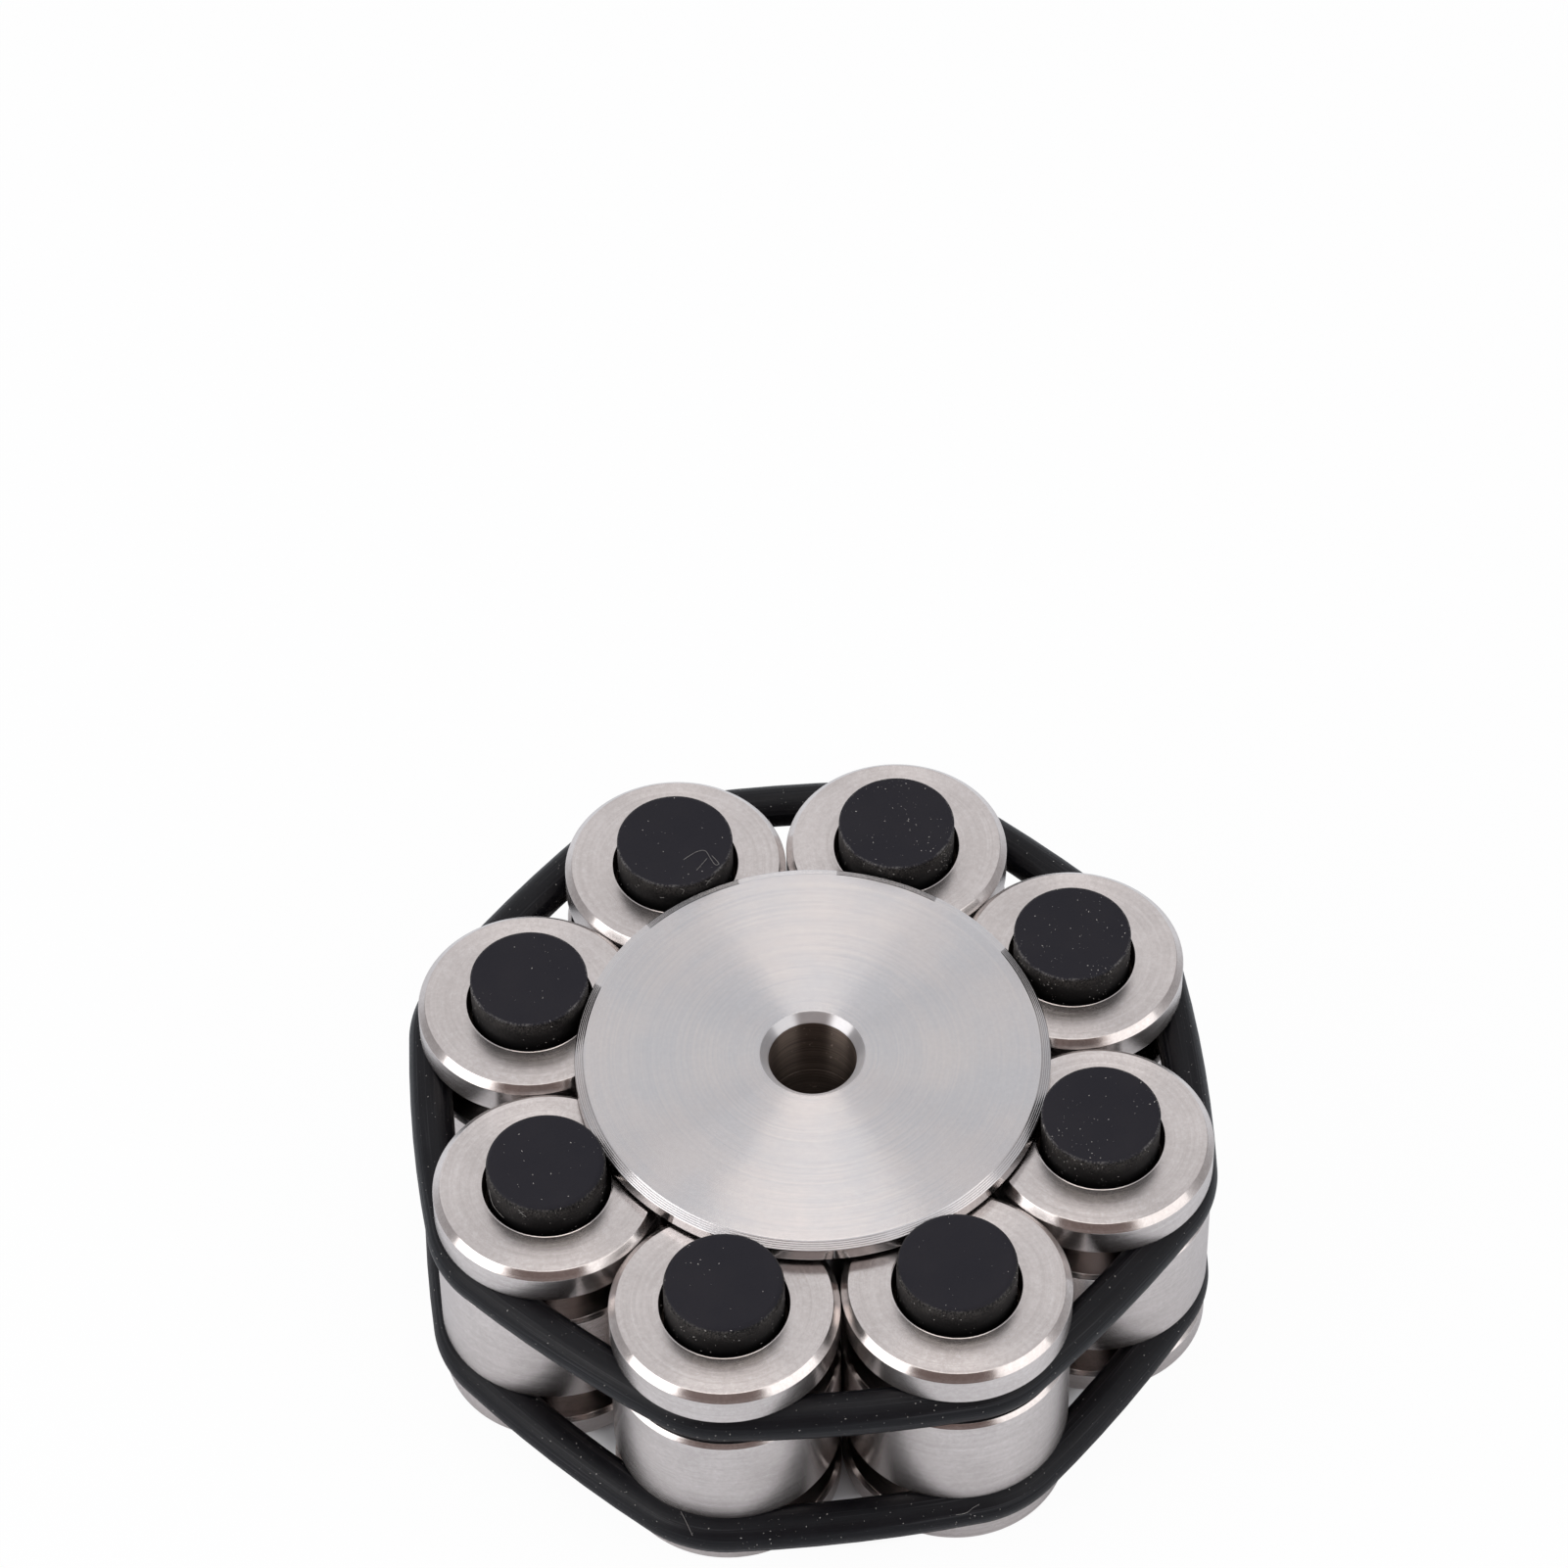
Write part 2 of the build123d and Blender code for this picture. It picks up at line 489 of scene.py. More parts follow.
class Finishes:
    """Every finish of the object, each made once."""

    def __init__(self) -> None:
        """Builds the materials."""
        self.hub = TurnedSteel(
            "hub_steel",
            colour=(0.655, 0.617, 0.605),
            stain=(0.590, 0.582, 0.592),
            # bore wall: dark brown, partly darker bored steel, partly painted shade inside the bore
            hollow=SunkArea(3.75, -1.0, 25.3, (0.235, 0.185, 0.155), 18.8),
            roughness=0.235,
            roughness_change=0.04,
            mark_depth=0.40e-6,
            fine_marks=9500.0,
            coarse_marks=5400.0,
            streak=1.2,
            speckle=0.14,
            anisotropy=1.0,
            cloud_scale=120.0,
            zones=(CutZone(3.7, 4.42, 0.12), CutZone(19.08, 20.0, -0.10)),
        ).material()
        self.weight = TurnedSteel(
            "weight_steel",
            colour=(0.668, 0.616, 0.596),
            stain=(0.590, 0.542, 0.522),
            # pocket wall: near black, partly tarnish, partly painted shade in the gap round the plug
            hollow=SunkArea(5.37, 21.0, 23.75, (0.075, 0.058, 0.048)),
            roughness=0.195,
            roughness_change=0.06,
            mark_depth=0.50e-6,
            fine_marks=9500.0,
            coarse_marks=3800.0,
            streak=1.4,
            speckle=0.42,
            anisotropy=0.88,
            zones=(CutZone(9.3, 9.7, 0.045),),
        ).material()
        self.plug = PlugRubber(
            "plug_rubber", (0.0122, 0.0116, 0.0170), (0.0166, 0.0154, 0.0202), 0.58, 0.17, 4600.0, 2.6e-5
        ).material()
        self.ring = RingRubber(
            "ring_rubber", (0.0028, 0.0028, 0.0044), (0.0052, 0.0052, 0.0072), 0.42, 0.20, 2400.0, 3.0e-5
        ).material()
        self.dust = Lint("dust", (0.62, 0.60, 0.57)).material()
        self.hair = Lint("hair", (0.44, 0.43, 0.41)).material()


class GeometryRecipe(NodeBench):
    """A geometry node tree with named inputs, run on a plain mesh to make a finished piece."""

    def __init__(self, name: str) -> None:
        """Opens an empty tree with a geometry input and output."""
        super().__init__(bpy.data.node_groups.new(name, "GeometryNodeTree"))
        self.tree.interface.new_socket("Geometry", in_out="INPUT", socket_type="NodeSocketGeometry")
        self.tree.interface.new_socket("Geometry", in_out="OUTPUT", socket_type="NodeSocketGeometry")
        self.source = self.tree.nodes.new("NodeGroupInput")
        self.sink = self.tree.nodes.new("NodeGroupOutput")

    def given(self, name: str, kind: str = "NodeSocketFloat") -> Socket:
        """Adds a named input and returns its socket inside the tree."""
        self.tree.interface.new_socket(name, in_out="INPUT", socket_type=kind)
        return self.source.outputs[name]

    def stored(self, geometry: Any, name: str, kind: str, value: Any) -> Socket:
        """Stores a value on each point under a name."""
        return self.output(
            "GeometryNodeStoreNamedAttribute",
            {"data_type": kind, "domain": "POINT"},
            {"Geometry": geometry, "Name": name, "Value": value},
        )

    def circle(self, resolution: Any, radius: Any) -> Socket:
        """Returns a circle as a curve."""
        inputs = {"Resolution": resolution, "Radius": radius}
        return self.output("GeometryNodeCurvePrimitiveCircle", {"mode": "RADIUS"}, inputs)

    def source_curve(self) -> Socket:
        """Returns the edges that the tree starts from, as a curve."""
        return self.output("GeometryNodeMeshToCurve", {}, {"Mesh": self.source.outputs[0]})

    def upright(self, curve: Any) -> Socket:
        """Returns a curve whose normals keep to the upright."""
        return self.output("GeometryNodeSetCurveNormal", {"mode": "Z_UP"}, {"Curve": curve})

    def close(self, geometry: Any) -> None:
        """Ends the tree: real geometry, smooth, in the finish that is given."""
        finish = self.given("Finish", "NodeSocketMaterial")
        real = self.output("GeometryNodeRealizeInstances", {}, {"Geometry": geometry})
        smooth = self.output("GeometryNodeSetShadeSmooth", {}, {"Geometry": real})
        dressed = self.output("GeometryNodeSetMaterial", {}, {"Geometry": smooth, "Material": finish})
        self.feed(self.sink.inputs[0], dressed)

    def made(self, name: str, source: bpy.types.Mesh, values: dict[str, Any]) -> Item:
        """Runs the tree and returns the result as a plain mesh object.

        Args:
            name: Name of the finished piece.
            source: The mesh that the tree starts from.
            values: Input name to value.

        Returns:
            An object at the origin, with no modifier left on it.
        """
        worker = shown(f"{name}_source", source)
        modifier = worker.modifiers.new("recipe", "NODES")
        modifier.node_group = self.tree
        for item in self.tree.interface.items_tree:
            if item.in_out == "INPUT" and item.name in values:
                modifier[item.identifier] = values[item.name]
        graph = bpy.context.evaluated_depsgraph_get()
        mesh = bpy.data.meshes.new_from_object(worker.evaluated_get(graph))
        mesh.name = name
        bpy.data.objects.remove(worker)
        return shown(name, mesh)


class Lathe(GeometryRecipe):
    """Turns a half section round an axis, with its corners slightly rounded."""

    def __init__(self) -> None:
        """Builds the tree: round the corners, sweep round a small circle, move into place."""
        super().__init__("lathe")
        edge = self.given("Edge Round")
        segments = self.given("Segments", "NodeSocketInt")
        seed = self.given("Seed")
        place = self.given("Place", "NodeSocketVector")
        rounded = self.output(
            "GeometryNodeFilletCurve",
            {"mode": "POLY"},
            {"Curve": self.source_curve(), "Count": EDGE_STEPS, "Radius": edge, "Limit Radius": True},
        )
        path = self.upright(self.circle(segments, LATHE_ARM))
        swept = self.output("GeometryNodeCurveToMesh", {}, {"Curve": path, "Profile Curve": rounded})
        welded = self.output("GeometryNodeMergeByDistance", {}, {"Geometry": swept, "Distance": WELD})
        outward = self.output("GeometryNodeFlipFaces", {}, {"Mesh": welded})
        position = self.output("GeometryNodeInputPosition", {}, {})
        marked = self.stored(outward, LATHE_PLACE, "FLOAT_VECTOR", position)
        seeded = self.stored(marked, LATHE_SEED, "FLOAT", seed)
        self.close(self.output("GeometryNodeTransform", {}, {"Geometry": seeded, "Translation": place}))

    def turned(self, name: str, outline: "Outline", edge: float, segments: int, seed: float,
               finish: bpy.types.Material, place: Point = (0.0, 0.0)) -> Item:
        """Turns a piece.

        Args:
            name: Name of the finished piece.
            outline: Its half section.
            edge: Radius that its corners are rounded to, in millimetres.
            segments: Steps round its axis.
            seed: Number that tells its marks from those of like pieces.
            finish: Its material.
            place: Where its axis stands, in metres.

        Returns:
            The piece, in its place.
        """
        values = {
            "Edge Round": edge * MM,
            "Segments": segments,
            "Seed": seed,
            "Place": (*place, 0.0),
            "Finish": finish,
        }
        return self.made(name, outline.mesh(name), values)


def box_of(node: str) -> tuple[float, float, float]:
    """Returns the radius, the lower height and the upper height of an upright solid, in millimetres."""
    low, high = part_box(node)
    return (high.x - low.x) / MM / 2, low.z / MM, high.z / MM


@dataclass(frozen=True)
class DustField:
    """How dust lies on some pieces."""

    name: str
    slot: str
    density: float  # flakes to the square metre
    sides: float  # how much more of them on upright faces
    bottom: float  # mm, no dust below it
    seed: int


class DustFall(GeometryRecipe):
    """Scatters fine flakes over the surface that it is given."""

    flake_shape = (1.0, 0.46, 0.28)
    steepest = -0.5  # upward part of a normal, under which a face is too far turned down for dust
    spin_seed = 5  # tells the turn of a flake from its size

    def __init__(self) -> None:
        """Builds the tree: points on the surface, a flake of its own size on each."""
        super().__init__("dust_fall")
        density = self.signal(self.given("Flakes per Square Metre"))
        side_share = self.signal(self.given("Extra on Sides"))
        clumps = self.given("Clumps per Metre")
        lowest = self.given("Lowest Height")
        least = self.signal(self.given("Least Size"))
        spread = self.signal(self.given("Size Spread"))
        seed = self.given("Seed", "NodeSocketInt")
        position = self.output("GeometryNodeInputPosition", {}, {})
        _, _, height = self.parts(position)
        noise = {"Vector": position, "Scale": clumps, "Detail": 2.0}
        gathered = self.signal(self.output("ShaderNodeTexNoise", {"noise_dimensions": "3D"}, noise))
        _, _, upward = self.parts(self.output("GeometryNodeInputNormal", {}, {}))
        over = self.above(height, lowest)
        above = self.above(upward, self.steepest)
        points = self.node(
            "GeometryNodeDistributePointsOnFaces",
            {"distribute_method": "RANDOM"},
            {
                "Mesh": self.source.outputs[0],
                "Density": density
                * over
                * above
                * ((1.0 - upward) * side_share + 1.0)
                * (gathered * 2.0) ** 4.0,
                "Seed": seed,
            },
        )
        flake = self.output("GeometryNodeMeshIcoSphere", {}, {"Radius": 1.0, "Subdivisions": 1})
        flat = self.output("GeometryNodeTransform", {}, {"Geometry": flake, "Scale": self.flake_shape})
        chance = self.chance(seed)
        placed = self.output(
            "GeometryNodeInstanceOnPoints",
            {},
            {
                "Points": points.outputs["Points"],
                "Instance": flat,
                "Rotation": points.outputs["Rotation"],
                "Scale": chance * chance * chance * spread + least,
            },
        )
        spin = self.joined(0.0, 0.0, self.chance(seed, self.spin_seed) * math.tau)
        self.close(self.output("GeometryNodeRotateInstances", {}, {"Instances": placed, "Rotation": spin}))

    def above(self, value: Any, limit: Any) -> Signal:
        """Returns 1 where a value is over a limit and 0 elsewhere."""
        settings = {"operation": "GREATER_THAN"}
        return self.signal(self.output("ShaderNodeMath", settings, {0: value, 1: limit}))

    def chance(self, seed: Socket, shift: int = 0) -> Signal:
        """Returns a random number between 0 and 1 for each point, steady from run to run."""
        shifted = self.output("ShaderNodeMath", {"operation": "ADD"}, {0: seed, 1: float(shift)})
        made = self.node("FunctionNodeRandomValue", {"data_type": "FLOAT"}, {"Seed": shifted})
        return self.signal(made.outputs[1])


class Fibres(GeometryRecipe):
    """Draws thin fibres along the paths that it is given."""

    bend_steps = 6  # points to each step of a path

    def __init__(self) -> None:
        """Builds the tree: a smooth line through the points, as a thin tube with closed ends."""
        super().__init__("fibres")
        thickness = self.given("Fibre Radius")
        spline = {"spline_type": "CATMULL_ROM"}
        smooth = self.output("GeometryNodeCurveSplineType", spline, {"Curve": self.source_curve()})
        steps = {"Geometry": smooth, "Resolution": self.bend_steps}
        fine = self.output("GeometryNodeSetSplineResolution", {}, steps)
        section = self.circle(HAIR_STEPS, thickness)
        tube = {"Curve": fine, "Profile Curve": section, "Fill Caps": True}
        self.close(self.output("GeometryNodeCurveToMesh", {}, tube))


@dataclass
class Outline:
    """Half section of a turned piece, as (radius, height) in millimetres."""

    points: list[Point]
    closed: bool
    guard: float = 0.14  # loops this close to each corner keep the flats flat

    def guarded(self) -> list[Point]:
        """Adds a point on each side of every corner."""
        corners = self.points + self.points[:1] if self.closed else self.points
        made: list[Point] = [corners[0]]
        for start, end in zip(corners, corners[1:]):
            length = math.dist(start, end)
            if length > 3 * self.guard:
                for share in (self.guard / length, 1 - self.guard / length):
                    made.append(tuple(a + (b - a) * share for a, b in zip(start, end)))
            made.append(end)
        return made[:-1] if self.closed else made

    def mesh(self, name: str) -> bpy.types.Mesh:
        """Returns the outline as a mesh of edges, laid out as the lathe wants it."""
        points = self.guarded()
        verts = [(radius * MM - LATHE_ARM, -height * MM, 0.0) for radius, height in points]
        edges = [(index, index + 1) for index in range(len(points) - 1)]
        if self.closed:
            edges.append((len(points) - 1, 0))
        return plain_mesh(f"{name}_outline", verts, edges)


def finished(piece: Item, slot: str, *nodes: str) -> Item:
    """Rides a piece on the body and hides the CAD nodes that it stands for.

    Args:
        piece: The finished piece.
        slot: The record's material slot; not used.
        nodes: CAD nodes that the piece replaces.

    Returns:
        The same piece.
    """
    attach(piece, BODY)
    if nodes:
        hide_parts(*nodes)
    log.info("%s: %d faces", piece.name, len(piece.data.polygons))
    return piece


def node_centre(node: str) -> Vector:
    """Middle of a CAD node's box."""
    low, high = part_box(node)
    return (low + high) / 2


@dataclass
class Hub:
    """The turned core with its bevelled disc and the spindle bore."""

    core_gap: float = 0.08
    core_chamfer: float = 0.5
    disc_thickness: float = 1.65
    bevel_width: float = 0.8
    bevel_drop: float = 0.4
    bevel_grooves: int = 4  # tool marks round the bevel
    bevel_groove_cut: float = 0.055
    bore_radius: float = 3.7
    bore_chamfer: float = 0.7
    bore_line_depth: float = 7.25  # below the disc's face
    bore_line_width: float = 0.12
    bore_line_cut: float = 0.05
    edge_round: float = 0.05
    segments: int = 256

    def bevel(self, disc: float, top: float) -> list[Point]:
        """Returns the disc's bevel from its lower edge to its upper one, with its tool marks."""
        slope = math.atan2(self.bevel_drop, self.bevel_width)
        sunk = (-math.sin(slope) * self.bevel_groove_cut, -math.cos(slope) * self.bevel_groove_cut)
        points: list[Point] = [(disc, top - self.bevel_drop)]
        for number in range(1, self.bevel_grooves + 1):
            for offset, depth in ((-0.16, 0.0), (0.0, 1.0), (0.10, 0.0)):
                share = (number + offset) / (self.bevel_grooves + 1)
                points.append(
                    (
                        disc - self.bevel_width * share + sunk[0] * depth,
                        top - self.bevel_drop * (1 - share) + sunk[1] * depth,
                    )
                )
        points.append((disc - self.bevel_width, top))
        return points

    def outline(self) -> Outline:
        """Returns the half section, from the bore outwards."""
        _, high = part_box("hub")
        disc, top = high.x / MM, high.z / MM
        centre = node_centre("weight_1") / MM
        core = math.hypot(centre.x, centre.y) - box_of("weight_1")[0] - self.core_gap
        line = top - self.bore_line_depth
        return Outline(
            [
                (self.bore_radius, 0.0),
                (core - self.core_chamfer, 0.0),
                (core, self.core_chamfer),
                (core, top - self.disc_thickness),
                (disc, top - self.disc_thickness),
                *self.bevel(disc, top),
                (self.bore_radius + self.bore_chamfer, top),
                (self.bore_radius, top - self.bore_chamfer),
                (self.bore_radius, line + self.bore_line_width),
                (self.bore_radius + self.bore_line_cut, line),
                (self.bore_radius, line - self.bore_line_width),
            ],
            closed=True,
        )

    def build(self, lathe: Lathe, finishes: Finishes) -> None:
        """Turns the hub and puts it in the place of its solid."""
        piece = lathe.turned("hub_turned", self.outline(), self.edge_round, self.segments, 0.0, finishes.hub)
        finished(piece, "hub_steel", "hub")


@dataclass
class Weights:
    """The turned cylinders that stand round the core."""

    count: int = 8
    end_chamfer: float = 0.6
    lip_chamfer: float = 0.35
    top_rim: float = 3.25
    bottom_rim: float = 2.9
    groove_height: float = 3.65
    groove_radius: float = 6.1
    pocket_radius: float = 5.37
    pocket_depth: float = 3.0
    burr_width: float = 0.12  # round the mouth of the pocket
    burr_height: float = 0.03
    edge_round: float = 0.05
    segments: int = 160
    seed_step: float = 11.0  # between the marks of one weight and those of the next

    def outline(self) -> Outline:
        """Returns the half section, from the foot of the axis outwards and up to the pocket."""
        radius, _, height = box_of("weight_1")
        upper_ledge = height - self.top_rim - self.groove_height
        points: list[Point] = [
            (0.0, 0.0),
            (radius - self.end_chamfer, 0.0),
            (radius, self.end_chamfer),
        ]
        for ledge in (self.bottom_rim, upper_ledge):
            points += [
                (radius, ledge - self.lip_chamfer),
                (radius - self.lip_chamfer, ledge),
                (self.groove_radius, ledge),
                (self.groove_radius, ledge + self.groove_height),
                (radius, ledge + self.groove_height),
            ]
        points += [
            (radius, height - self.end_chamfer),
            (radius - self.end_chamfer, height),
            (self.pocket_radius + self.burr_width, height),
            (self.pocket_radius + self.burr_width / 4, height + self.burr_height),
            (self.pocket_radius, height),
            (self.pocket_radius, height - self.pocket_depth),
            (0.0, height - self.pocket_depth),
        ]
        return Outline(points, closed=False)

    def build(self, lathe: Lathe, finishes: Finishes) -> None:
        """Turns each weight and puts it in the place of its solid."""
        for number in range(1, self.count + 1):
            centre = node_centre(f"weight_{number}")
            piece = lathe.turned(
                f"weight_{number}_turned", self.outline(), self.edge_round, self.segments,
                self.seed_step * number, finishes.weight, (centre.x, centre.y),
            )
            finished(piece, "weight_steel", f"weight_{number}")


@dataclass
class Plugs:
    """The rubber plugs that stand in the pockets."""

    count: int = 8
    crisp_round: float = 0.09
    worn_round: float = 0.5
    worn: tuple[int, ...] = (5, 6, 7)
    segments: int = 128

    def outline(self) -> Outline:
        """Returns the half section, from the foot of the axis."""
        radius, foot, top = box_of("plug_1")
        return Outline([(0.0, foot), (radius, foot), (radius, top), (0.0, top)], closed=False, guard=0.55)

    def build(self, lathe: Lathe, finishes: Finishes) -> list[Item]:
        """Makes each plug and puts it in the place of its solid."""
        pieces = []
        for number in range(1, self.count + 1):
            centre = node_centre(f"plug_{number}")
            rounding = self.worn_round if number in self.worn else self.crisp_round
            piece = lathe.turned(
                f"plug_{number}_rubber", self.outline(), rounding, self.segments, float(number),
                finishes.plug, (centre.x, centre.y),
            )
            pieces.append(finished(piece, "plug_rubber", f"plug_{number}"))
        return pieces


class CordRing(GeometryRecipe):
    """Sweeps a round section with a thin mould line along a closed path."""

    def __init__(self) -> None:
        """Builds the tree."""
        super().__init__("cord_ring")
        section = self.given("Section Radius")
        line_radius = self.given("Mould Line Radius")
        line_place = self.given("Mould Line Place", "NodeSocketVector")
        path = self.upright(self.source_curve())
        cord = self.circle(CORD_STEPS, section)
        line = self.circle(MOULD_LINE_STEPS, line_radius)
        placed = self.output("GeometryNodeTransform", {}, {"Geometry": line, "Translation": line_place})
        both = self.tree.nodes.new("GeometryNodeJoinGeometry")
        for geometry in (cord, placed):
            self.feed(both.inputs[0], geometry)
        position = self.output("GeometryNodeInputPosition", {}, {})
        direction = self.output("ShaderNodeVectorMath", {"operation": "NORMALIZE"}, {0: position})
        marked = self.stored(both.outputs[0], CORD_ROUND, "FLOAT_VECTOR", direction)
        self.close(self.output("GeometryNodeCurveToMesh", {}, {"Curve": path, "Profile Curve": marked}))


@dataclass
class RubberRings:
    """The two rubber rings that bind the weights to the core."""

    section: float = 3.6
    seat_radius: float = 7.95  # path of a seated ring round the axis of a weight
    run_bend_radius: float = 125.0
    mould_line: float = 0.05
    mould_line_angle: float = -38.0  # below the level, on the outside
    step_degrees: float = 2.0
    off_seat: dict[str, dict[int, float]] = field(
        default_factory=lambda: {
            "upper_ring": {1: 0.2, 2: 1.05, 3: 1.2, 4: 0.75, 5: 0.55, 8: 0.2},
            "lower_ring": {5: 0.6, 6: 1.5, 7: 0.85},
        }
    )

    def arc(self, centre: Vector, radius: float, start: Vector, end: Vector) -> list[Vector]:
        """Returns points along a counterclockwise arc, without its last one.

        Args:
            centre: Centre of the arc.
            radius: Its radius.
            start: Direction of its first point from the centre.
            end: Direction of its last point from the centre.
        """
        first = math.atan2(start.y, start.x)
        turn = (math.atan2(end.y, end.x) - first) % math.tau
        steps = max(6, round(math.degrees(turn) / self.step_degrees))
        return [
            centre + radius * Vector((math.cos(first + turn * i / steps), math.sin(first + turn * i / steps)))
            for i in range(steps)
        ]

    def run_centre(self, start: Vector, start_radius: float, end: Vector, end_radius: float) -> Vector:
        """Returns the centre of the shallow run that is tangent to two seat arcs."""
        span = end - start
        start_reach = self.run_bend_radius - start_radius
        end_reach = self.run_bend_radius - end_radius
        along = (span.length**2 + start_reach**2 - end_reach**2) / (2 * span.length)
        inwards = math.sqrt(start_reach**2 - along**2)
        direction = span.normalized()
        return start + direction * along + Vector((-direction.y, direction.x)) * inwards

    def route(self, name: str, count: int) -> list[Vector]:
        """Returns the ring's path in the level plane, in millimetres."""
        centres = [(node_centre(f"weight_{number}") / MM).to_2d() for number in range(1, count + 1)]
        radii = [self.seat_radius + self.off_seat[name].get(number, 0.0) for number in range(1, count + 1)]
        runs = [
            self.run_centre(centres[i - 1], radii[i - 1], centres[i], radii[i]) for i in range(count)
        ]
        points: list[Vector] = []
        for i, centre in enumerate(centres):
            arrival = runs[i]
            departure = runs[(i + 1) % count]
            points += self.arc(arrival, self.run_bend_radius, centres[i - 1] - arrival, centre - arrival)
            points += self.arc(centre, radii[i], centre - arrival, centre - departure)
        return points

    def build(self, recipe: CordRing, finishes: Finishes, count: int) -> list[Item]:
        """Makes each ring and puts it in the place of its solid."""
        pieces = []
        angle = math.radians(self.mould_line_angle)
        reach = self.section / 2 * MM
        for name in self.off_seat:
            height = node_centre(name).z
            points = self.route(name, count)
            verts = [(point.x * MM, point.y * MM, height) for point in points]
            edges = [(index, (index + 1) % len(verts)) for index in range(len(verts))]
            piece = recipe.made(
                f"{name}_rubber",
                plain_mesh(f"{name}_path", verts, edges),
                {
                    "Section Radius": reach,
                    "Mould Line Radius": self.mould_line * MM,
                    "Mould Line Place": (reach * math.cos(angle), -reach * math.sin(angle), 0.0),
                    "Finish": finishes.ring,
                },
            )
            pieces.append(finished(piece, "ring_rubber", name))
        return pieces


def joined(name: str, pieces: Iterable[Item]) -> bpy.types.Mesh:
    """Copies the meshes of some pieces into one."""
    collected = bmesh.new()
    for piece in pieces:
        collected.from_mesh(piece.data)
    mesh = bpy.data.meshes.new(name)
    collected.to_mesh(mesh)
    collected.free()
    return mesh


Fibre = tuple[tuple[float, float, float], ...]


@dataclass
class Lying:
    """The dust and hairs that lie on the rubber."""

    plug_dust: DustField = DustField("plug", "plug_rubber", 0.30e6, 4.0, 24.3, 3)
    more_plug_dust: DustField = DustField("more_plug", "plug_rubber", 0.85e6, 1.2, 24.3, 5)
    dusty_plugs: tuple[int, ...] = (1, 2, 8)  # those that carry more dust than the rest
    ring_dust: DustField = DustField("ring", "ring_rubber", 0.50e6, 0.4, 1.0, 8)
    clumps: float = 420.0  # to the metre
    least: float = 0.022  # mm
    spread: float = 0.070
    hair_radius: float = 0.016
    plug_hairs: tuple[Fibre, ...] = (
        (
            (-8.96, 20.86, 27.13), (-7.80, 21.59, 27.13), (-7.05, 21.62, 27.14), (-6.70, 20.83, 27.14),
            (-6.35, 20.04, 27.15), (-6.01, 20.11, 27.15), (-6.51, 21.03, 27.14),
        ),
        ((-7.98, 19.57, 27.13), (-7.40, 20.25, 27.14), (-6.96, 20.75, 27.17)),
        ((-9.50, 18.02, 26.75), (-9.20, 18.04, 26.50), (-9.34, 17.99, 26.10)),
        ((-7.30, 18.50, 26.95), (-7.00, 18.70, 26.60), (-6.80, 18.90, 26.25)),
        ((-7.25, 18.45, 26.45), (-6.95, 18.72, 26.70), (-6.60, 18.95, 26.75)),
        ((-11.24, 18.30, 25.44), (-10.90, 18.22, 25.48)),
        ((-9.98, -28.02, 26.62), (-9.90, -28.04, 26.44)),
        ((-9.86, -28.02, 26.66), (-9.83, -28.04, 26.40)),
        ((-27.85, -11.20, 26.10), (-27.62, -12.30, 25.40), (-26.85, -13.30, 24.90)),
        ((-25.60, -13.90, 26.70), (-25.30, -14.10, 26.30), (-25.00, -14.20, 26.00)),
        ((-25.55, -13.98, 26.30), (-25.20, -14.10, 26.60)),
        ((-14.74, -22.73, 24.03), (-14.60, -22.75, 24.04)),
    )
    ring_hairs: tuple[Fibre, ...] = (
        ((-14.20, -31.40, 6.54), (-13.84, -32.42, 6.44), (-13.42, -33.31, 5.72)),
        ((8.43, -33.66, 5.90), (9.30, -33.62, 6.02), (9.90, -33.30, 6.20), (10.45, -33.05, 6.26)),
        ((-32.55, -11.25, 5.48), (-32.40, -11.40, 5.56)),
    )

    def fibre_mesh(self, name: str, fibres: tuple[Fibre, ...]) -> bpy.types.Mesh:
        """Returns the paths of some fibres as one mesh of edges."""
        verts: list[tuple[float, float, float]] = []
        edges: list[tuple[int, int]] = []
        for fibre in fibres:
            first = len(verts)
            verts += [tuple(part * MM for part in point) for point in fibre]
            edges += [(index, index + 1) for index in range(first, len(verts) - 1)]
        return plain_mesh(name, verts, edges)

    def build(
        self, plugs: list[Item], rings: list[Item], finishes: Finishes
    ) -> None:
        """Scatters the dust and lays the hairs."""
        dust_fall = DustFall()
        fibres = Fibres()
        dusty = [plugs[number - 1] for number in self.dusty_plugs]
        for layer, pieces in ((self.plug_dust, plugs), (self.more_plug_dust, dusty), (self.ring_dust, rings)):
            dust = dust_fall.made(
                f"{layer.name}_dust",
                joined(f"{layer.name}_surface", pieces),
                {
                    "Flakes per Square Metre": layer.density,
                    "Extra on Sides": layer.sides,
                    "Clumps per Metre": self.clumps,
                    "Lowest Height": layer.bottom * MM,
                    "Least Size": self.least * MM,
                    "Size Spread": self.spread * MM,
                    "Seed": layer.seed,
                    "Finish": finishes.dust,
                },
            )
            finished(dust, layer.slot)
        for name, slot, paths in (
            ("plug", "plug_rubber", self.plug_hairs),
            ("ring", "ring_rubber", self.ring_hairs),
        ):
            hairs = fibres.made(
                f"{name}_hairs",
                self.fibre_mesh(f"{name}_fibres", paths),
                {"Fibre Radius": self.hair_radius * MM, "Finish": finishes.hair},
            )
            finished(hairs, slot)


def direction_of(azimuth: float, elevation: float) -> Vector:
    """Returns the unit vector towards an azimuth and an elevation, in degrees."""
    around = math.radians(azimuth)
    up = math.radians(elevation)
    return Vector((math.cos(up) * math.cos(around), math.cos(up) * math.sin(around), math.sin(up)))


